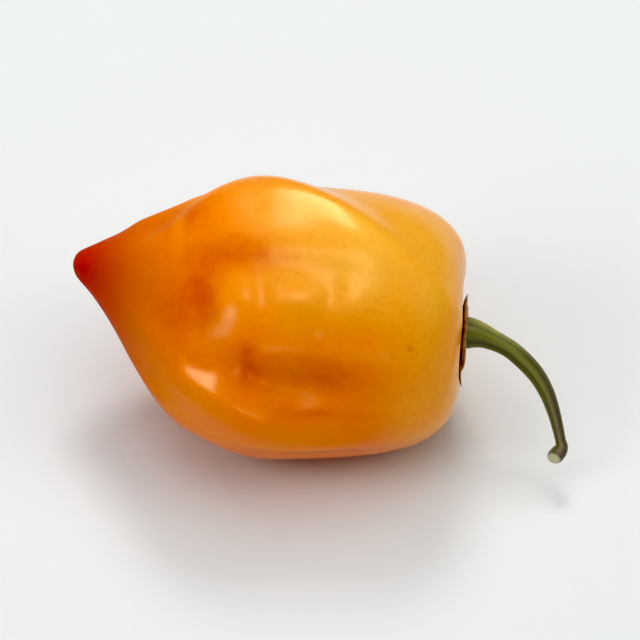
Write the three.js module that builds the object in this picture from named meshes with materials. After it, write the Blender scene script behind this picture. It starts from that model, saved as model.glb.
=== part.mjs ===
// An orange habanero chilli as picked, lying on its side: the lobed and dented fruit, the dry calyx in the
// hollow of its stem end, and the green stem with the swollen joint where it was snapped off.
// Millimetres, +Z up. The origin is under the widest plane of the fruit, on the flat spot that it lies on.
// The stem end points to +X and the tip to -X.
import * as THREE from "three";
import { mergeVertices } from "three/addons/utils/BufferGeometryUtils.js";

const { sin, cos, tan, exp, abs, hypot, atan2, min, max, PI } = Math;
const DEGREE = PI / 180;

// Directions round the X axis are degrees from the front (-Y), through 90 on top, to 180 at the back.

// Fruit: lengths either side of the widest plane, and the mean radius between its lobes.
const SHOULDER_LENGTH = 22.7;
const TIP_LENGTH = 25.7;
const FRUIT_RADIUS = 16.5;
const AXIS_HEIGHT = 17.15;
const SHOULDER_ROUNDING = 0.75;
const SHOULDER_SQUARENESS = 0.46;
const TIP_FULLNESS = 2.15;
const NUB_LENGTH = 1.2;
const NUB_RADIUS = 3.3;
const NUB_SPREAD = 0.25;
const TIP_ROUNDING = { radius: 2.2, fade: 1.8 };
// The middle of each section moves off the straight axis: back and up at the tip, forward and down at the
// stem. The tip's bend is between two distances from the widest plane.
const TIP_SHIFT = { y: 7.7, z: 1.6, from: 11, to: 26.5 };
const STEM_END_SHIFT = { y: -1.3, z: -1.4, power: 2 };
// The side of the stem end that faces "towards" leans away from the tip, by "degrees".
const STEM_END_LEAN = { towards: 163, degrees: 3.6 };
// The hollow that the calyx sits in, flat to one radius and level with the shoulder from the other.
const SEAT_DEPTH = 0.6;
const SEAT_SLOPE = { from: 4.5, to: 8 };

// Lobes are long swellings, placed by their direction in the widest plane.
const LOBE_TWIST = -1.2; // degrees of turn for each millimetre towards the stem
const LOBE_FADE = { from: 0.3, to: 0.8 }; // of the fruit's fullness, as are the two fades below
const LOBES = [
  { around: 172, height: 1.1, width: 24 },
  { around: 238, height: 0.8, width: 22 },
  { around: 302, height: 1.15, width: 24 },
];

// Ridges have a crest that turns and bends, by degrees for each millimetre from the "x" where it is at
// "around". They have half widths above and below the crest in degrees, and reach along the fruit either side
// of "middle".
const RIDGE_BEND_ROUNDING = 2;
const RIDGE_FADE = { from: 0.3, to: 0.7 };
const RIDGES = [
  // The one that arches over the hollow front, the groove at its foot, and the one under the front.
  { around: 121, x: -3, turn: 0, bend: 2.7, height: 1.9, above: 14, below: 24, middle: 1, reach: 18 },
  { around: 72, x: 0, turn: -0.4, bend: 0, height: -0.6, above: 8, below: 13, middle: 1, reach: 11 },
  { around: -6, x: 0, turn: -2, bend: 0, height: 1.8, above: 14, below: 22, middle: -4, reach: 13 },
];

// Dents go in by "depth" and swellings have a negative one. "x" and "around" place the middle, "long" and
// "wide" are its half sizes along and round the fruit in millimetres, and "turn" slants it, in degrees.
const DENT_FADE = { from: 0.3, to: 0.6 };
const DENTS = [
  // The broad hollow panel on the front, and what lies in it.
  { x: 2, around: 44, long: 13, wide: 8, turn: 0, depth: 1.2 },
  { x: -5, around: 58, long: 2.3, wide: 2.6, turn: 10, depth: -0.14 },
  { x: 2.8, around: 57, long: 2.5, wide: 2.6, turn: 0, depth: -0.3 },
  { x: 9.4, around: 56, long: 2.2, wide: 2.6, turn: -10, depth: -0.25 },
  { x: -9.2, around: 60, long: 1.9, wide: 3.4, turn: 8, depth: 0.16 },
  { x: 3, around: 16, long: 10, wide: 3.4, turn: -6, depth: 1.2 },
  // Flats at the end of the lower ridge and on the crest of the upper one.
  { x: -10, around: 22, long: 3.2, wide: 2, turn: -35, depth: 0.42 },
  { x: 4.5, around: 93, long: 5.5, wide: 3.2, turn: -45, depth: 0.45 },
  // On top: the upper side of the tip, and the flat behind the crest.
  { x: -13, around: 133, long: 7, wide: 5, turn: 0, depth: -1.2 },
  { x: -4, around: 140, long: 4, wide: 3.5, turn: 0, depth: 0.7 },
  // The side that faces away.
  { x: 6, around: 205, long: 11, wide: 3.4, turn: 6, depth: 2.2 },
  { x: -8, around: 188, long: 6, wide: 5, turn: -20, depth: 1.5 },
  { x: 8, around: 146, long: 8, wide: 3, turn: 8, depth: 0.9 },
  // Low on the front.
  { x: 6, around: 330, long: 9, wide: 3, turn: -6, depth: 0.7 },
  { x: -12, around: 312, long: 6, wide: 5, turn: 0, depth: 1 },
  // The swelling underneath that the fruit lies on.
  { x: -1, around: 269, long: 10, wide: 7, turn: 0, depth: -0.85 },
];

// Calyx: a thin wavy disc with pointed teeth. It reaches furthest towards its long side, where it lies on the
// fruit, and its other side curls away.
const CALYX_RADIUS = 4.8;
const CALYX_TEETH = 6;
const CALYX_TOOTH = 1;
const CALYX_TOOTH_SHARPNESS = 1.2;
const CALYX_THICKNESS = 0.4;
const CALYX_CURL = 0.5;
const CALYX_CURL_POWER = 4;
const CALYX_EDGE_POWER = 4;
const CALYX_WAVE = 0.15;
const CALYX_LONG_SIDE = { towards: 318, share: 0.12 };
const CALYX_RING_SPREAD = 0.7; // below 1 draws the rings of faces towards the rim

// Stem: a flared and ribbed stalk that bends forward and down, with a swollen joint at its end.
const STEM_BASE_RADIUS = 2.1;
const STEM_MIDDLE_RADIUS = 1.2;
const STEM_END_RADIUS = 0.67;
const STEM_JOINT_RADIUS = 1;
const STEM_FLARE = 0.13; // share of the length
const STEM_TAPER = { from: 0.35, to: 0.97 };
const STEM_JOINT = { from: 0.88, to: 0.97 };
const STEM_RIBS = 5;
const STEM_RIB_HEIGHT = 0.07; // share of the radius
const STEM_DROOP = 48; // degrees below level of the direction that it bends in
const STEM_ROUTE = [
  // out of the stem end, and along the droop
  [0, -0.3],
  [1.2, -0.2],
  [2.9, 0.3],
  [5.7, 1.6],
  [8.5, 4],
  [10.2, 6.4],
  [11.4, 9.2],
  [12.3, 12.2],
  [12.5, 13.4],
  [11.7, 14.7],
];
const TOUCH_GAP = 0.3; // clear space between neighbouring pieces

// Faces round and along each piece.
const FRUIT_FACES = { around: 84, along: 60 };
const CALYX_FACES = { around: 48, along: 14 };
const STEM_FACES = { around: 20, along: 28 };

const wrapped = (angle) => atan2(sin(angle), cos(angle));
const bell = (share) => exp(-share * share);
const smooth = ({ from, to }, value) => {
  const share = min(max((value - from) / (to - from), 0), 1);
  return share * share * (3 - 2 * share);
};

// How far the skin stands out of the plain body of revolution. All of it fades out at the two ends.
function relief(x, around, fullness) {
  let out = 0;
  for (const lobe of LOBES) {
    const off = wrapped(around - (lobe.around + LOBE_TWIST * x) * DEGREE) / DEGREE;
    out += lobe.height * bell(off / lobe.width) * smooth(LOBE_FADE, fullness);
  }
  for (const ridge of RIDGES) {
    const along = x - ridge.x;
    const bend = ridge.bend * (hypot(along, RIDGE_BEND_ROUNDING) - RIDGE_BEND_ROUNDING);
    const off = wrapped(around - (ridge.around + ridge.turn * along - bend) * DEGREE) / DEGREE;
    const height = ridge.height * bell(off / (off > 0 ? ridge.above : ridge.below));
    out += height * bell((x - ridge.middle) / ridge.reach) * smooth(RIDGE_FADE, fullness);
  }
  for (const dent of DENTS) {
    const along = x - dent.x;
    const across = wrapped(around - dent.around * DEGREE) * FRUIT_RADIUS;
    const c = cos(dent.turn * DEGREE);
    const s = sin(dent.turn * DEGREE);
    const distance = hypot((along * c + across * s) / dent.long, (across * c - along * s) / dent.wide);
    out -= dent.depth * bell(distance) * smooth(DENT_FADE, fullness);
  }
  return out;
}

// How far the stem end is sunk, at a radius from its middle.
const seat = (radius) => SEAT_DEPTH * (1 - smooth(SEAT_SLOPE, radius));

// A point of the skin. "polar" is 0 at the middle of the stem end and PI at the tip.
function fruitPoint(polar, around) {
  let x, fullness, share, shift;
  let lean = 0;
  let hollow = 0;
  if (polar <= PI / 2) {
    x = SHOULDER_LENGTH * max(cos(polar), 0) ** SHOULDER_ROUNDING;
    fullness = sin(polar) ** SHOULDER_SQUARENESS;
  } else {
    const q = PI - polar;
    x = -(TIP_LENGTH - NUB_LENGTH) * cos(q) - NUB_LENGTH * bell(q / NUB_SPREAD);
    fullness = 1 - cos(q) ** TIP_FULLNESS + (NUB_RADIUS / FRUIT_RADIUS) * sin(q) * bell(q / (2 * NUB_SPREAD));
  }
  const out = relief(x, around, fullness);
  const fromTip = x + TIP_LENGTH;
  const blunt = 2 * TIP_ROUNDING.radius * fromTip * exp(-fromTip / TIP_ROUNDING.fade);
  const radius = hypot(FRUIT_RADIUS * fullness + out * sin(polar), blunt ** 0.5);
  if (x < 0) {
    shift = TIP_SHIFT;
    share = smooth(shift, -x);
  } else {
    shift = STEM_END_SHIFT;
    share = (x / SHOULDER_LENGTH) ** shift.power;
    const facing = cos(around - STEM_END_LEAN.towards * DEGREE);
    lean = share * radius * facing * tan(STEM_END_LEAN.degrees * DEGREE);
    hollow = polar < PI / 2 ? seat(radius) : 0;
  }
  return new THREE.Vector3(
    x + out * cos(polar) + lean - hollow,
    -radius * cos(around) + shift.y * share,
    AXIS_HEIGHT + radius * sin(around) + shift.z * share,
  );
}

// Moves every vertex of a closed three.js shape by a rule, keeping its faces.
function moved(shape, rule) {
  shape.deleteAttribute("normal");
  shape.deleteAttribute("uv");
  const geometry = mergeVertices(shape);
  const place = geometry.getAttribute("position");
  const from = new THREE.Vector3();
  for (let i = 0; i < place.count; i++) {
    const to = rule(from.fromBufferAttribute(place, i));
    place.setXYZ(i, to.x, to.y, to.z);
  }
  geometry.computeVertexNormals();
  return geometry;
}

// Spreads the rings evenly over the shoulder, where the formula bunches them.
const RING_SPREAD = { towardsMiddle: 2.2, fromMiddle: 1.33 };
function evened(polar) {
  if (polar >= PI / 2) return polar;
  const share = polar / (PI / 2);
  const towardsMiddle = share ** RING_SPREAD.towardsMiddle;
  const fromMiddle = (1 - share) ** RING_SPREAD.fromMiddle;
  return ((PI / 2) * towardsMiddle) / (towardsMiddle + fromMiddle);
}

// A unit ball with its poles on the X axis: its polar angle, and its angle round X.
const ball = ({ around, along }) => new THREE.SphereGeometry(1, around, along).rotateZ(-PI / 2);
const polarOf = (p) => atan2(hypot(p.y, p.z), p.x);
const aroundOf = (p) => atan2(p.z, -p.y);

function fruit() {
  const geometry = moved(ball(FRUIT_FACES), (p) => {
    const at = fruitPoint(evened(polarOf(p)), aroundOf(p));
    at.z = max(at.z, 0); // pressed flat where it lies
    return at;
  });
  return named("fruit", geometry, { color: 0xf08a14, roughness: 0.28 });
}

// The calyx in its own frame: its middle at the bottom of the seat, its outer face to +X.
function calyx() {
  const geometry = moved(ball(CALYX_FACES), (p) => {
    const around = aroundOf(p);
    const share = sin(polarOf(p)) ** CALYX_RING_SPREAD; // of the way from the middle to the rim
    const towardsLongSide = cos(around - CALYX_LONG_SIDE.towards * DEGREE);
    const tooth = abs(cos((CALYX_TEETH * (around - CALYX_LONG_SIDE.towards * DEGREE)) / 2));
    const reach = CALYX_RADIUS + CALYX_TOOTH * tooth ** CALYX_TOOTH_SHARPNESS;
    const radius = reach * (1 + CALYX_LONG_SIDE.share * towardsLongSide) * share;
    const curl = (CALYX_CURL * (1 - towardsLongSide)) / 2 + CALYX_WAVE * (1 + sin(2 * around));
    const lift = curl * share ** CALYX_CURL_POWER;
    const middle = SEAT_DEPTH - seat(radius) + TOUCH_GAP + CALYX_THICKNESS / 2 + lift;
    const half = (CALYX_THICKNESS / 2) * (1 - share ** CALYX_EDGE_POWER) ** 0.5;
    return new THREE.Vector3(middle + (p.x < 0 ? -half : half), -radius * cos(around), radius * sin(around));
  });
  return named("calyx", geometry, { color: 0x8a6a3c, roughness: 0.8 });
}

function stem() {
  const out = new THREE.Vector3(1, 0, 0);
  const droop = new THREE.Vector3(0, -cos(STEM_DROOP * DEGREE), -sin(STEM_DROOP * DEGREE));
  const side = new THREE.Vector3().crossVectors(out, droop);
  const route = new THREE.CatmullRomCurve3(
    STEM_ROUTE.map(([a, b]) => out.clone().multiplyScalar(a).addScaledVector(droop, b)),
  );
  const { around, along } = STEM_FACES;
  const geometry = moved(new THREE.CylinderGeometry(1, 1, 1, around, along), (p) => {
    const share = p.y + 0.5;
    const across = new THREE.Vector3().crossVectors(side, route.getTangentAt(share));
    const angle = atan2(p.z, p.x);
    const taper = (STEM_END_RADIUS - STEM_MIDDLE_RADIUS) * smooth(STEM_TAPER, share);
    const flare = (STEM_BASE_RADIUS - STEM_MIDDLE_RADIUS) * bell(share / STEM_FLARE);
    const joint = (STEM_JOINT_RADIUS - STEM_END_RADIUS) * smooth(STEM_JOINT, share);
    const ribs = 1 + STEM_RIB_HEIGHT * cos(STEM_RIBS * angle);
    const radius = hypot(p.x, p.z) * (STEM_MIDDLE_RADIUS + taper + flare + joint) * ribs;
    return route
      .getPointAt(share)
      .addScaledVector(side, radius * cos(angle))
      .addScaledVector(across, radius * sin(angle));
  });
  return named("stem", geometry, { color: 0x6f8a2c, roughness: 0.5 });
}

function named(name, geometry, look) {
  const mesh = new THREE.Mesh(geometry, new THREE.MeshStandardMaterial({ metalness: 0, ...look }));
  mesh.name = name;
  return mesh;
}

// The crown stands on the bottom of the seat and leans with the stem end.
const crown = new THREE.Group();
const leanTowards = STEM_END_LEAN.towards * DEGREE;
const leanAxis = new THREE.Vector3(0, sin(leanTowards), cos(leanTowards));
crown.position.copy(fruitPoint(0, 0));
crown.quaternion.setFromAxisAngle(leanAxis, STEM_END_LEAN.degrees * DEGREE);
const stalk = stem();
stalk.position.x = CALYX_THICKNESS + 2 * TOUCH_GAP;
crown.add(calyx(), stalk);

const chilli = new THREE.Group();
chilli.add(fruit(), crown);

export default chilli;
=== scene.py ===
from math import cos, pi, radians, sin, tan

import bmesh
import bpy
import numpy as np
from mathutils import Matrix, Quaternion, Vector


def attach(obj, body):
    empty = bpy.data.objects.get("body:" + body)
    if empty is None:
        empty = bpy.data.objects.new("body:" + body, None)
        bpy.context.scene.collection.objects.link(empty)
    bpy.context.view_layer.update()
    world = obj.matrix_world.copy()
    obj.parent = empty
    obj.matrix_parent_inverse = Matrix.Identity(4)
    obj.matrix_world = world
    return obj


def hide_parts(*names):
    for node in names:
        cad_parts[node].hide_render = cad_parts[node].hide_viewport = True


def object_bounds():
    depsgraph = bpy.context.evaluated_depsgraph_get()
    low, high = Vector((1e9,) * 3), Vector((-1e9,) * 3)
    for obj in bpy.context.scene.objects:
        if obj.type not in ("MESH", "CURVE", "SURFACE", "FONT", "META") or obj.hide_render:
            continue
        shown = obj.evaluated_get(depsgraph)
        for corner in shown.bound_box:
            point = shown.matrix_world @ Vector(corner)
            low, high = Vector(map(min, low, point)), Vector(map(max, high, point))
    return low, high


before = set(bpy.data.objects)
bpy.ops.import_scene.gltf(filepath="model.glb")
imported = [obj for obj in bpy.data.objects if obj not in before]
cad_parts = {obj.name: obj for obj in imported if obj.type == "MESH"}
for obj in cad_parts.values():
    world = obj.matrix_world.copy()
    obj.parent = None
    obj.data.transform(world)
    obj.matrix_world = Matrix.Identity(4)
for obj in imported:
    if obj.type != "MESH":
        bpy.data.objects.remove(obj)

cad_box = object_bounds()

# Fruit
# The ripe berry: one thin-walled body, grown in lobes that meet at the tip, with the skin sunk in between
# them and over the front. The skin is smooth and waxy, and light goes a little way into the flesh.
MM = 0.001
# In millimetres and radians, with lengths from the widest plane. The fades are between shares of the
# fullness, which is 0 at the two ends and 1 in the widest plane.
FRUIT = {
    "shoulder_length": 22.7,
    "tip_length": 25.7,
    "radius": 16.5,
    "axis_height": 17.15,
    "shoulder_rounding": 0.75,
    "shoulder_squareness": 0.46,
    "tip_fullness": 2.15,
    "nub_length": 1.2,
    "nub_radius": 3.3,
    "nub_spread": 0.25,
    "tip_rounding": 2.2,
    "tip_rounding_fade": 1.8,
    "tip_shift": (7.7, 1.6),
    "tip_bend": (11.0, 26.5),
    "stem_end_shift": (-1.3, -1.4),
    "stem_end_shift_power": 2,
    "lean": radians(3.6),
    "lean_towards": radians(163),
    "seat_depth": 0.6,
    "seat_flat": 4.5,
    "seat_rim": 8.0,
    "lobe_twist": radians(-1.2),
    "lobe_fade": (0.3, 0.8),
    "ridge_fade": (0.3, 0.7),
    "ridge_bend_rounding": 2,
    "dent_fade": (0.3, 0.6),
}
# Rings of faces are spread by these powers towards the widest plane and away from it.
RING_SPREAD = (2.2, 1.33)
# Faces round and along the fruit, and the cuts in each.
FRUIT_FACES = (80, 60, 3)
# Direction in the widest plane in degrees, height in millimetres, width in degrees.
LOBES = [(172, 1.1, 24), (238, 0.8, 22), (302, 1.15, 24)]
# The ridge over the front, the groove at its foot, and the ridge under the front. Direction of the crest at
# one place along the fruit, that place, turn and bend of the crest in degrees for each millimetre, height,
# half widths above and below the crest in degrees, and the middle and the reach along the fruit.
RIDGES = [
    (121, -3, 0, 2.7, 1.9, 14, 24, 1, 18),
    (72, 0, -0.4, 0, -0.6, 8, 13, 1, 11),
    (-6, 0, -2, 0, 1.8, 14, 22, -4, 13),
]
# Place along and round the fruit, half sizes along and round it, slant in degrees, and depth.
DENTS = [
    (2, 44, 13, 8, 0, 1.2),
    (-5, 58, 2.3, 2.6, 10, -0.14),
    (2.8, 57, 2.5, 2.6, 0, -0.3),
    (9.4, 56, 2.2, 2.6, -10, -0.25),
    (-2.2, 60, 1.3, 3.4, 8, 0.25),
    (6.6, 60, 1.2, 2.8, -6, 0.15),
    (-9.2, 60, 1.9, 3.4, 8, 0.16),
    (3, 16, 10, 3.4, -6, 1.2),
    (-3.6, 22, 1.0, 3.0, 6, 0.3),
    (5.4, 38, 1.4, 1.2, 0, 0.2),
    (-10, 22, 3.2, 2.0, -35, 0.42),
    (-9, 8, 0.8, 0.8, 0, -0.08),
    (-5.4, 10, 0.9, 0.8, 0, -0.08),
    (-7, 6, 0.7, 0.9, 0, 0.07),
    (4.5, 93, 5.5, 3.2, -45, 0.45),
    (-13, 133, 7, 5, 0, -1.2),
    (6, 205, 11, 3.4, 6, 2.2),
    (-8, 188, 6, 5, -20, 1.5),
    (8, 146, 8, 3, 8, 0.9),
    (6, 330, 9, 3, -6, 0.7),
    (-12, 312, 6, 5, 0, 1.0),
    (-1, 269, 10, 7, 0, -0.85),
    (-4, 140, 4, 3.5, 0, 0.7),
]
# The same for patches of redder skin and painted shade in the hollows, creases and groove, and of lighter
# skin and painted highlights where the last number is below 0.
BLUSHES_AND_PAINTED_LIGHT = [
    (6, 21, 3.2, 2.6, 0, 0.2),
    (-3.6, 24, 1.8, 3.2, 15, 0.35),
    (2, 22, 9, 4.2, 0, 0.35),
    (-4, 34, 1.2, 1.0, 0, 0.3),
    (-3, 78, 6, 2.2, -10, 0.4),
    (-7, 80, 5, 4, 0, 0.35),
    (-9.3, 59, 1.9, 3.8, 8, 0.6),
    (-13, 52, 4, 6, 0, 0.35),
    (15.8, 38, 0.5, 0.7, 0, 0.5),
    (5, 3, 6, 0.8, -6, 0.4),
    (-8, 45, 4, 4, 0, 0.25),
    (15, 60, 4, 6, 0, -0.35),
    (-7.5, 8, 4, 2.4, -30, -0.3),
    (-4.6, 57, 1.5, 2.2, 10, -0.4),
    (-12.3, 99, 0.7, 3.6, 0, -0.5),
    (-7, 117, 4.4, 0.7, 12, -0.5),
    (1, 43, 3.5, 1.8, 0, -0.2),
    (18, 0, 4, 4, 0, -0.3),
    (-10, 104, 5, 3.5, 0, 0.45),
    (-14, 118, 4.5, 5, 0, 0.6),
]
# The same for skin whose wax is rubbed dull.
DULL_PATCHES = [
    (-7.4, 47, 2.6, 3.0, 0, 0.9),
    (-15, 122, 8, 7, 0, 1.4),
    (-17.5, 1, 7.5, 5.5, 0, 1.0),
    (-2, 344, 12, 3, 0, 0.6),
    (8, 33, 7, 1.8, 0, 0.8),
    (1.5, 18, 4, 2.4, 12, 0.7),
]
# Between these distances from the widest plane, the tip gets dull too.
DULL_TIP = (11, 20)


def bell(share):
    return np.exp(-share * share)


def smooth(low, high, value):
    share = np.clip((value - low) / (high - low), 0, 1)
    return share * share * (3 - 2 * share)


def wrapped(angle):
    return np.arctan2(np.sin(angle), np.cos(angle))


def patches(rows, x, around):
    """The sum of the rows of a list, each strongest in its middle and fading to its edge."""
    total = np.zeros_like(around)
    for place, direction, long, wide, turn, strength in rows:
        along = x - place
        across = wrapped(around - radians(direction)) * FRUIT["radius"]
        c, s = cos(radians(turn)), sin(radians(turn))
        total += strength * bell(np.hypot((along * c + across * s) / long, (across * c - along * s) / wide))
    return total


def fruit_relief(x, around, fullness):
    """How far the skin stands out of the plain body, and how much of that is dents."""
    lobes = np.zeros_like(around)
    for direction, height, width in LOBES:
        off = wrapped(around - radians(direction) - FRUIT["lobe_twist"] * x)
        lobes += height * bell(off / radians(width)) * smooth(*FRUIT["lobe_fade"], fullness)
    for direction, at, turn, bend, height, above, below, middle, reach in RIDGES:
        along = x - at
        rounding = FRUIT["ridge_bend_rounding"]
        crest = direction + turn * along - bend * (np.hypot(along, rounding) - rounding)
        off = wrapped(around - np.radians(crest))
        ridge = height * bell(off / np.where(off > 0, radians(above), radians(below)))
        lobes += ridge * bell((x - middle) / reach) * smooth(*FRUIT["ridge_fade"], fullness)
    return lobes, patches(DENTS, x, around) * smooth(*FRUIT["dent_fade"], fullness)


def seat(radius):
    """How far the stem end is sunk, at a radius from its middle."""
    return FRUIT["seat_depth"] * (1 - smooth(FRUIT["seat_flat"], FRUIT["seat_rim"], radius))


def fruit_point(polar, around):
    """Points of the skin, in millimetres, with the depth of the dents there."""
    f = FRUIT
    at_stem = polar <= pi / 2
    q = pi - polar
    x = np.where(
        at_stem,
        f["shoulder_length"] * np.clip(np.cos(polar), 0, 1) ** f["shoulder_rounding"],
        -(f["tip_length"] - f["nub_length"]) * np.cos(q) - f["nub_length"] * bell(q / f["nub_spread"]),
    )
    nub = f["nub_radius"] / f["radius"] * np.sin(q) * bell(q / (2 * f["nub_spread"]))
    fullness = np.where(
        at_stem,
        np.sin(polar) ** f["shoulder_squareness"],
        1 - np.clip(np.cos(q), 0, 1) ** f["tip_fullness"] + nub,
    )
    lobes, dents = fruit_relief(x, around, fullness)
    out = lobes - dents
    radius = f["radius"] * fullness + out * np.sin(polar)
    from_tip = x + f["tip_length"]
    blunt = 2 * f["tip_rounding"] * from_tip * np.exp(-from_tip / f["tip_rounding_fade"])
    radius = np.hypot(radius, np.sqrt(blunt))
    to_tip = smooth(*f["tip_bend"], -x)
    to_stem = (np.clip(x, 0, None) / f["shoulder_length"]) ** f["stem_end_shift_power"]
    lean = to_stem * radius * np.cos(around - f["lean_towards"]) * tan(f["lean"])
    hollow = np.where(polar < pi / 2, seat(radius), 0)
    back, up = (f["tip_shift"][k] * to_tip + f["stem_end_shift"][k] * to_stem for k in (0, 1))
    skin = np.stack([
        x + out * np.cos(polar) + lean - hollow,
        -radius * np.cos(around) + back,
        f["axis_height"] + radius * np.sin(around) + up,
    ], axis=1)
    return skin, dents


def evened(polar):
    """Spreads the rings evenly over the shoulder, where the formula bunches them."""
    share = np.clip(polar / (pi / 2), 0, 1)
    towards_middle = share ** RING_SPREAD[0]
    from_middle = (1 - share) ** RING_SPREAD[1]
    spread = pi / 2 * towards_middle / (towards_middle + from_middle)
    return np.where(polar < pi / 2, spread, polar)


def ball(around, along, cuts):
    """A fine unit ball with its poles on X, and its vertices' polar angles and angles round X from -Y."""
    bm = bmesh.new()
    bmesh.ops.create_uvsphere(bm, u_segments=around, v_segments=along, radius=1)
    bmesh.ops.subdivide_edges(bm, edges=bm.edges, cuts=cuts, use_grid_fill=True)
    bmesh.ops.rotate(bm, verts=bm.verts, cent=(0, 0, 0), matrix=Matrix.Rotation(pi / 2, 3, "Y"))
    place = np.array([v.co for v in bm.verts])
    polar = np.arctan2(np.hypot(place[:, 1], place[:, 2]), place[:, 0])
    return bm, polar, np.arctan2(place[:, 2], -place[:, 1])


def finished(name, bm, place, material, attributes):
    """Moves the vertices to their places in millimetres and makes the smooth, closed object."""
    for vertex, co in zip(bm.verts, place):
        vertex.co = Vector(co) * MM
    bmesh.ops.recalc_face_normals(bm, faces=bm.faces)
    mesh = bpy.data.meshes.new(name)
    bm.to_mesh(mesh)
    bm.free()
    for word, values in attributes.items():
        mesh.attributes.new(word, "FLOAT", "POINT").data.foreach_set("value", values.astype(np.float32))
    mesh.materials.append(material)
    mesh.shade_smooth()
    piece = bpy.data.objects.new(name, mesh)
    bpy.context.scene.collection.objects.link(piece)
    return piece


class Value:
    """A socket of a material. Arithmetic on it adds Math nodes, and node() adds any other."""

    def __init__(self, tree, socket):
        self.tree = tree
        self.socket = socket

    def node(self, kind, settings, inputs, output=0):
        made = self.tree.nodes.new("ShaderNode" + kind)
        for name, setting in settings.items():
            setattr(made, name, setting)
        for name, value in inputs.items():
            if isinstance(value, Value):
                self.tree.links.new(value.socket, made.inputs[name])
            else:
                made.inputs[name].default_value = value
        return Value(self.tree, made.outputs[output])

    def math(self, operation, first, second):
        return self.node("Math", {"operation": operation}, {0: first, 1: second})

    def __add__(self, other):
        return self.math("ADD", self, other)

    def __sub__(self, other):
        return self.math("SUBTRACT", self, other)

    def __rsub__(self, other):
        return self.math("SUBTRACT", other, self)

    def __mul__(self, other):
        return self.math("MULTIPLY", self, other)

    __radd__ = __add__
    __rmul__ = __mul__

    def ramp(self, low, high):
        """0 below low, 1 above high, and smooth between."""
        return self.node(
            "MapRange",
            {"interpolation_type": "SMOOTHSTEP"},
            {"Value": self, "From Min": low, "From Max": high},
        )

    def mix(self, first, second, factor):
        """From one colour to another."""
        return self.node("Mix", {"data_type": "RGBA"}, {0: factor, 6: first, 7: second}, 2)

    def noise(self, size, detail=2.0, stretch=(1, 1, 1), seed=0.0):
        """Cloudy noise about 0.5, with patches of about the size in millimetres, drawn out by stretch."""
        scale = [1 / s for s in stretch]
        place = self.node("Mapping", {}, {"Vector": self, "Location": (seed, seed, seed), "Scale": scale})
        return self.node("TexNoise", {}, {"Vector": place, "Scale": 1 / (size * MM), "Detail": detail})


def finish(name, constants):
    """A new material, its shader node with these constant numbers, and the piece's own coordinates."""
    material = bpy.data.materials.new(name)
    material.use_nodes = True
    tree = material.node_tree
    shader = tree.nodes["Principled BSDF"]
    for socket, value in constants.items():
        shader.inputs[socket].default_value = value
    coordinates = tree.nodes.new("ShaderNodeTexCoord")
    return material, shader, Value(tree, coordinates.outputs["Object"])


def attribute(place, name):
    """The numbers that a piece's vertices carry under this name."""
    return place.node("Attribute", {"attribute_name": name}, {}, 2)


def relief(place, height):
    """A fine relief, from heights in millimetres."""
    return place.node("Bump", {}, {"Height": height, "Strength": 1.0, "Distance": MM})


def wire(shader, **values):
    """Links what changes over the surface to the shader."""
    for name, value in values.items():
        value.tree.links.new(value.socket, shader.inputs[name.replace("_", " ")])


# In millimetres, between what lengths and heights the upper side turns yellow, partly the skin's own colour
# and partly painted light from above, between what lengths the stem end does all round, and between what
# lengths the red of the tip fades out, partly the skin's own colour and partly painted shade.
YELLOW_LENGTH = (-16, 14)
YELLOW_HEIGHT = (24.5, 33)
YELLOW_STEM_END = (9, 22)
RED_TIP = (-25, -9.5)


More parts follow.
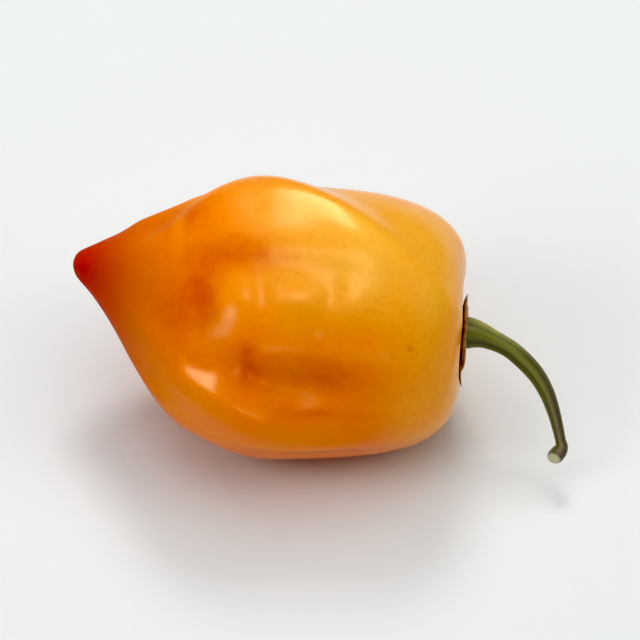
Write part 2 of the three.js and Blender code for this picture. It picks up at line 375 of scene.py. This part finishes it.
def skin_finish():
    material, shader, place = finish("waxy_skin", {
        "Subsurface Weight": 0.15,
        "Subsurface Radius": (1.0, 0.3, 0.05),
        "Subsurface Scale": 0.0015,
        "IOR": 1.3,
        "Specular Tint": (1.0, 0.72, 0.42, 1),
        "Coat Roughness": 0.2,
        "Coat IOR": 1.2,
        "Coat Tint": (1.0, 0.8, 0.48, 1),
    })
    along = place.node("SeparateXYZ", {}, {"Vector": place}, 0) * (1 / MM)
    height = place.node("SeparateXYZ", {}, {"Vector": place}, 2) * (1 / MM)
    dent = attribute(place, "dent")
    blush_and_painted_light = attribute(place, "blush_and_painted_light")
    dull = attribute(place, "dull")
    orange = (0.93, 0.27, 0.003, 1)
    yellow = (0.97, 0.6, 0.1, 1)
    red_and_shade = (0.5, 0.013, 0.001, 1)
    deep_red_and_shade = (0.68, 0.1, 0.001, 1)
    light = (0.98, 0.4, 0.02, 1)
    clouds = place.noise(9, 3)
    mottle = place.noise(0.7, 4)
    # Yellower on the upper side: partly the skin's own colour, partly painted light from above.
    yellow_and_lit_upper_side = along.ramp(*YELLOW_LENGTH) * height.ramp(*YELLOW_HEIGHT)
    stem_end = along.ramp(*YELLOW_STEM_END) * 0.75
    colour = place.mix(orange, yellow, yellow_and_lit_upper_side + stem_end + (clouds - 0.5) * 0.5)
    # The tip goes dark red: partly the skin's own colour, partly painted shade.
    colour = place.mix(colour, red_and_shade, 1 - along.ramp(*RED_TIP))
    # Painted highlights: the light colour goes where the patches are below 0, along with some lighter skin
    # of its own.
    colour = place.mix(colour, light, (blush_and_painted_light * -1).ramp(0, 0.8))
    # Painted shade: deep red fills the dents and the patches above 0, along with the skin's own redder
    # patches and clouds.
    uneven = 0.55 + place.noise(1.6, 3) * 0.9
    redder_and_painted_shade = (blush_and_painted_light * uneven + dent * 0.1 + (clouds - 0.5) * 0.6).ramp(0, 1)
    colour = place.mix(colour, deep_red_and_shade, redder_and_painted_shade)
    colour = place.mix(colour, deep_red_and_shade, (1 - mottle.ramp(0.3, 0.55)) * 0.12)
    roughness = 0.34 + (place.noise(2.5, 3) - 0.5) * 0.2 + dull * 0.55
    waves = place.noise(2.6, 2) * 0.11
    wrinkles = place.noise(0.9, 3, (2, 1, 1)) * 0.045
    pores = place.noise(0.25, 2) * 0.008
    bump = relief(place, waves + wrinkles + pores)
    wire(shader, Base_Color=colour, Roughness=roughness, Coat_Weight=1 - dull * 0.9, Normal=bump)
    return material


bm, polar, around = ball(*FRUIT_FACES)
skin, dents = fruit_point(evened(polar), around)
# Pressed flat where it lies.
skin[:, 2] = np.maximum(skin[:, 2], 0)
blush_and_painted_light = patches(BLUSHES_AND_PAINTED_LIGHT, skin[:, 0], around)
dull = np.clip(patches(DULL_PATCHES, skin[:, 0], around) + smooth(*DULL_TIP, -skin[:, 0]), 0, 1)
fruit = finished("fruit_skin", bm, skin, skin_finish(), {"dent": dents, "blush_and_painted_light": blush_and_painted_light, "dull": dull})
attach(fruit, "root")
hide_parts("fruit")

# Calyx
# What is left of the flower's green cup: a thin dry disc with six teeth, brown and papery, that sits in the
# hollow of the stem end. It grew there, and its upper teeth have curled away from the skin.
CALYX = {
    "radius": 4.8,
    "teeth": 6,
    "tooth": 1.0,
    "sharpness": 1.2,
    "thickness": 0.35,
    "gap": 0.2,
    "curl": 0.5,
    "curl_power": 4,
    "edge_power": 4,
    "wave": 0.15,
    "long_side": radians(318),
    "long_share": 0.12,
}
# Faces round and along the disc, and the cuts in each. The power draws them towards the rim.
CALYX_FACES = (72, 12, 1)
CALYX_RING_SPREAD = 0.7


def crown():
    """Where the calyx stands, on the bottom of the seat, and how it leans with the stem end."""
    middle, _ = fruit_point(np.array([0.0]), np.array([0.0]))
    towards = FRUIT["lean_towards"]
    lean = Quaternion((0, sin(towards), cos(towards)), FRUIT["lean"]).to_matrix()
    return middle[0], np.array(lean)


def calyx_point(polar, around):
    """Points of the disc before it leans, from the bottom of the seat, in millimetres."""
    c = CALYX
    share = np.sin(polar) ** CALYX_RING_SPREAD
    to_long_side = np.cos(around - c["long_side"])
    tooth = np.abs(np.cos(c["teeth"] * (around - c["long_side"]) / 2)) ** c["sharpness"]
    radius = (c["radius"] + c["tooth"] * tooth) * (1 + c["long_share"] * to_long_side) * share
    curl = c["curl"] * (1 - to_long_side) / 2 + c["wave"] * (1 + np.sin(2 * around))
    lift = curl * share ** c["curl_power"]
    middle = FRUIT["seat_depth"] - seat(radius) + c["gap"] + c["thickness"] / 2 + lift
    half = c["thickness"] / 2 * np.sqrt(np.clip(1 - share ** c["edge_power"], 0, 1))
    x = middle + np.where(np.cos(polar) < 0, -half, half)
    return np.stack([x, -radius * np.cos(around), radius * np.sin(around)], axis=1)


def calyx_finish():
    material, shader, place = finish("dry_calyx", {"IOR": 1.4})
    reach = attribute(place, "reach")
    underside = attribute(place, "underside")
    brown = (0.12, 0.05, 0.022, 1)
    tan_colour = (0.55, 0.41, 0.22, 1)
    grey = (0.3, 0.22, 0.12, 1)
    patchy = place.noise(0.8, 4)
    colour = place.mix(brown, grey, patchy.ramp(0.32, 0.72) * reach.ramp(0.4, 0.8))
    # The underside, towards the skin, is kept dark brown: partly the calyx's own colour, partly painted
    # shade of the gap under it.
    colour = place.mix(colour, brown, underside * 0.7)
    # Paler tan in patches near the rim.
    tan_near_rim = place.noise(1.3, 2, (1, 1, 1), 5).ramp(0.25, 0.6)
    colour = place.mix(colour, tan_colour, reach.ramp(0.82, 0.96) * tan_near_rim)
    wrinkles = relief(place, place.noise(0.5, 4) * 0.12)
    wire(shader, Base_Color=colour, Roughness=0.7 + place.noise(1) * 0.2, Normal=wrinkles)
    return material


crown_place, crown_turn = crown()
bm, polar, around = ball(*CALYX_FACES)
cup = calyx_point(polar, around) @ crown_turn.T + crown_place
calyx = finished("calyx_disc", bm, cup, calyx_finish(), {
    "reach": np.sin(polar) ** CALYX_RING_SPREAD,
    "underside": smooth(0, 0.4, -np.cos(polar)),
})
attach(calyx, "root")
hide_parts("calyx")

# Stem
# The green stalk that carried the fruit: it flares where it meets the calyx, has long ribs, bends over
# under the fruit's weight, and ends in the swollen joint where it was snapped off the plant.
STEM = {
    "base_radius": 2.1,
    "middle_radius": 1.2,
    "end_radius": 0.67,
    "joint_radius": 1.0,
    "flare": 0.13,
    "taper": (0.35, 0.97),
    "joint": (0.88, 0.97),
    "ribs": 5,
    "groove_width": 0.75,
    "groove_depth": 0.14,
    "groove_end": (0.85, 1.0),
    "droop": radians(48),
    "offset": 1.0,
}
# The snapped end. It bulges, is sunk in its middle, and slants, and its edge is rounded by a loss of radius.
# The hollow's width and the pale part are shares of the radius, and the other pairs shares of the length.
CUT = {
    "bulge": 0.3,
    "bulge_power": 4,
    "hollow": 0.4,
    "hollow_width": 0.55,
    "slant": 0.8,
    "slant_from": (0.86, 1.0),
    "edge_loss": 0.1,
    "edge_from": (0.985, 1.0),
    "pale_within": (0.75, 1.0),
}
# Millimetres out of the stem end, and along the droop.
STEM_ROUTE = [
    (-0.5, -0.32),
    (1.2, -0.2),
    (2.9, 0.3),
    (5.7, 1.6),
    (8.5, 4.0),
    (10.2, 6.4),
    (11.4, 9.2),
    (12.3, 12.2),
    (12.5, 13.4),
    (11.7, 14.7),
]
ROUTE_STEPS = 60


def stem_route(count):
    """Places evenly along a smooth curve through the route, with the curve's direction at each."""
    given = np.array(STEM_ROUTE, float)
    padded = np.vstack([2 * given[0] - given[1], given, 2 * given[-1] - given[-2]])
    fine = []
    for a, b, c, d in zip(padded, padded[1:], padded[2:], padded[3:]):
        for t in np.linspace(0, 1, ROUTE_STEPS, endpoint=False):
            squared = (2 * a - 5 * b + 4 * c - d) * t ** 2
            cubed = (3 * b - a - 3 * c + d) * t ** 3
            fine.append((2 * b + (c - a) * t + squared + cubed) / 2)
    fine = np.array(fine + [given[-1]])
    length = np.concatenate([[0], np.cumsum(np.hypot(*np.diff(fine, axis=0).T))])
    even = np.linspace(0, length[-1], count)
    route = np.stack([np.interp(even, length, fine[:, k]) for k in (0, 1)], axis=1)
    ahead = np.gradient(route, axis=0)
    return route, ahead / np.hypot(*ahead.T)[:, None]


def stem_finish():
    material, shader, place = finish("green_stem", {"IOR": 1.45})
    share = attribute(place, "share")
    groove = attribute(place, "groove")
    outer = attribute(place, "outer")
    cut = attribute(place, "cut")
    painted_groove_shade = (0.035, 0.04, 0.005, 1)
    green = (0.17, 0.18, 0.014, 1)
    light = (0.46, 0.46, 0.1, 1)
    brown = (0.15, 0.11, 0.07, 1)
    umber = (0.06, 0.03, 0.012, 1)
    pale = (0.6, 0.58, 0.36, 1)
    blotches = place.noise(2, 3)
    near_base = share.ramp(0.02, 0.1) * (1 - share.ramp(0.25, 0.45))
    # Painted highlight: a light streak along the outer side of the bend, near the base.
    colour = place.mix(green, light, near_base * outer.ramp(0.1, 0.7) * 0.8)
    weathered = (share * 1.5 + outer * 0.6 + (blotches - 0.5)).ramp(0.5, 1.3)
    colour = place.mix(colour, brown, weathered * 0.9)
    # Painted shade in the grooves.
    colour = place.mix(colour, painted_groove_shade, groove * 0.75)
    # Darker where the stem meets the calyx: a dark joint, and painted shade.
    colour = place.mix(colour, umber, 1 - share.ramp(-0.01, 0.035))
    colour = place.mix(colour, pale, cut)
    grain = relief(place, place.noise(0.3, 3) * 0.03)
    wire(shader, Base_Color=colour, Roughness=0.38 + place.noise(1) * 0.2, Normal=grain)
    return material


STEM_RINGS = 180
STEM_SEGMENTS = 72
CAP_RINGS = 6
CAP_STEP = 0.14
bm = bmesh.new()
bmesh.ops.create_cone(bm, cap_ends=True, segments=STEM_SEGMENTS, radius1=1, radius2=1, depth=1)
bmesh.ops.translate(bm, verts=bm.verts, vec=(0, 0, 0.5))
lengthways = [e for e in bm.edges if abs(e.verts[0].co.z - e.verts[1].co.z) > 0.5]
bmesh.ops.subdivide_edges(bm, edges=lengthways, cuts=STEM_RINGS - 2, use_grid_fill=True)
for face in [f for f in bm.faces if len(f.verts) > 4]:
    inner = face
    for _ in range(CAP_RINGS):
        bmesh.ops.inset_region(bm, faces=[inner], thickness=CAP_STEP)
place = np.array([v.co for v in bm.verts])
share = np.clip(place[:, 2], 0, 1)
angle = np.arctan2(place[:, 1], place[:, 0])
route, ahead = stem_route(STEM_RINGS)
step = np.rint(share * (STEM_RINGS - 1)).astype(int)
taper = (STEM["end_radius"] - STEM["middle_radius"]) * smooth(*STEM["taper"], share)
flare = (STEM["base_radius"] - STEM["middle_radius"]) * bell(share / STEM["flare"])
joint = (STEM["joint_radius"] - STEM["end_radius"]) * smooth(*STEM["joint"], share)
groove = bell(np.sin(STEM["ribs"] * angle / 2) / STEM["groove_width"])
from_axis = np.hypot(place[:, 0], place[:, 1])
radius = from_axis * (STEM["middle_radius"] + taper + flare + joint)
radius *= 1 - STEM["groove_depth"] * groove * (1 - smooth(*STEM["groove_end"], share))
radius *= 1 - CUT["edge_loss"] * smooth(*CUT["edge_from"], share)
on_cut = step == STEM_RINGS - 1
swelling = CUT["bulge"] * (1 - from_axis ** CUT["bulge_power"])
hollow = CUT["hollow"] * bell(from_axis / CUT["hollow_width"])
bulge = np.where(on_cut, swelling - hollow, 0)
# Across the stem are the side of the route's plane, and in it the direction ahead turned by a quarter.
sideways = radius * np.cos(angle)
outward = radius * np.sin(angle)
bulge += smooth(*CUT["slant_from"], share) * CUT["slant"] * sideways
level = route[step, 0] - outward * ahead[step, 1] + bulge * ahead[step, 0]
down = route[step, 1] + outward * ahead[step, 0] + bulge * ahead[step, 1]
droop = STEM["droop"]
stalk = np.stack([
    level + STEM["offset"],
    -down * cos(droop) + sideways * sin(droop),
    -down * sin(droop) - sideways * cos(droop),
], axis=1)
stem = finished("stem_stalk", bm, stalk @ crown_turn.T + crown_place, stem_finish(), {
    "share": share,
    "groove": groove,
    "outer": -np.sin(angle),
    "cut": np.where(on_cut, 1 - smooth(*CUT["pale_within"], from_axis), 0),
})
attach(stem, "root")
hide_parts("stem")

# Floor
# A plain pale surface that the chilli lies on, wide enough to fill every view. It is matt, so it takes soft
# shadows and hardly mirrors the panels.
FLOOR_REACH = 1.5
floor_bm = bmesh.new()
bmesh.ops.create_grid(floor_bm, x_segments=1, y_segments=1, size=FLOOR_REACH)
floor_mesh = bpy.data.meshes.new("floor")
floor_bm.to_mesh(floor_mesh)
floor_bm.free()
floor_material, _, _ = finish("pale_floor", {
    "Base Color": (0.8, 0.83, 0.835, 1),
    "Roughness": 0.8,
    "Specular IOR Level": 0.2,
})
floor_mesh.materials.append(floor_material)
floor = bpy.data.objects.new("floor", floor_mesh)
bpy.context.scene.collection.objects.link(floor)

# Light and camera
# A white room with a large lamp overhead and three small ones, which light the chilli but aren't mirrored in
# it, and warm panels that are only mirrored. The camera looks down from the front, as in the photograph.
PANEL_COLOUR = (1, 0.85, 0.58)
low, high = (Vector(corner) for corner in cad_box)
aim = (low + high) / 2


def soft_light(name, azimuth, elevation, distance, size, power, mirrored=False):
    """A lamp, or a mirrored panel, that faces the chilli. Azimuth 0 is the front, and 90 the stem end."""
    lamp = bpy.data.lights.new(name, "AREA")
    lamp.shape = "RECTANGLE"
    lamp.size, lamp.size_y = size
    lamp.energy = power
    light = bpy.data.objects.new(name, lamp)
    a, e = radians(azimuth), radians(elevation)
    light.location = aim + distance * Vector((sin(a) * cos(e), -cos(a) * cos(e), sin(e)))
    light.rotation_euler = (light.location - aim).to_track_quat("Z", "Y").to_euler()
    if mirrored:
        lamp.color = PANEL_COLOUR
    light.visible_glossy = mirrored
    light.visible_diffuse = not mirrored
    bpy.context.scene.collection.objects.link(light)


soft_light("ceiling", 0, 90, 0.9, (1.0, 1.0), 5.0)
soft_light("back", 180, 55, 0.7, (0.2, 0.2), 1.6)
soft_light("front", -62, 40, 0.7, (0.3, 0.3), 1.1)
soft_light("right", 76, 40, 0.7, (0.3, 0.3), 0.7)
soft_light("crest_panel", 179, 50, 0.7, (0.17, 0.46), 6.2, mirrored=True)
soft_light("top_panel", -3, 70, 0.7, (0.2, 0.2), 1.15, mirrored=True)
soft_light("window_panel", -38, 35, 0.7, (0.14, 0.14), 3.2, mirrored=True)
soft_light("low_panel", 6, 18, 0.7, (0.3, 0.16), 1.0, mirrored=True)

ROOM_COLOUR = (0.95, 0.97, 1, 1)
ROOM_STRENGTH = 0.14
BLACK_LEVEL = 0.02
world = bpy.data.worlds.new("white_room")
world.use_nodes = True
background = world.node_tree.nodes["Background"]
background.inputs["Color"].default_value = ROOM_COLOUR
background.inputs["Strength"].default_value = ROOM_STRENGTH
bpy.context.scene.world = world
view = bpy.context.scene.view_settings
view.view_transform = "Standard"
view.use_curve_mapping = True
view.curve_mapping.black_level = (BLACK_LEVEL, BLACK_LEVEL, BLACK_LEVEL)
view.curve_mapping.update()

# How far the camera looks down, and in metres its distance and the width that it sees there.
ELEVATION = radians(48)
DISTANCE = 0.57
WIDTH_IN_VIEW = 0.079
camera_data = bpy.data.cameras.new("camera")
camera_data.lens = camera_data.sensor_width * DISTANCE / WIDTH_IN_VIEW
camera_data.clip_start = 0.01
camera = bpy.data.objects.new("camera", camera_data)
camera.location = aim + DISTANCE * Vector((0, -cos(ELEVATION), sin(ELEVATION)))
camera.rotation_euler = (pi / 2 - ELEVATION, 0, 0)
bpy.context.scene.collection.objects.link(camera)
bpy.context.scene.camera = camera
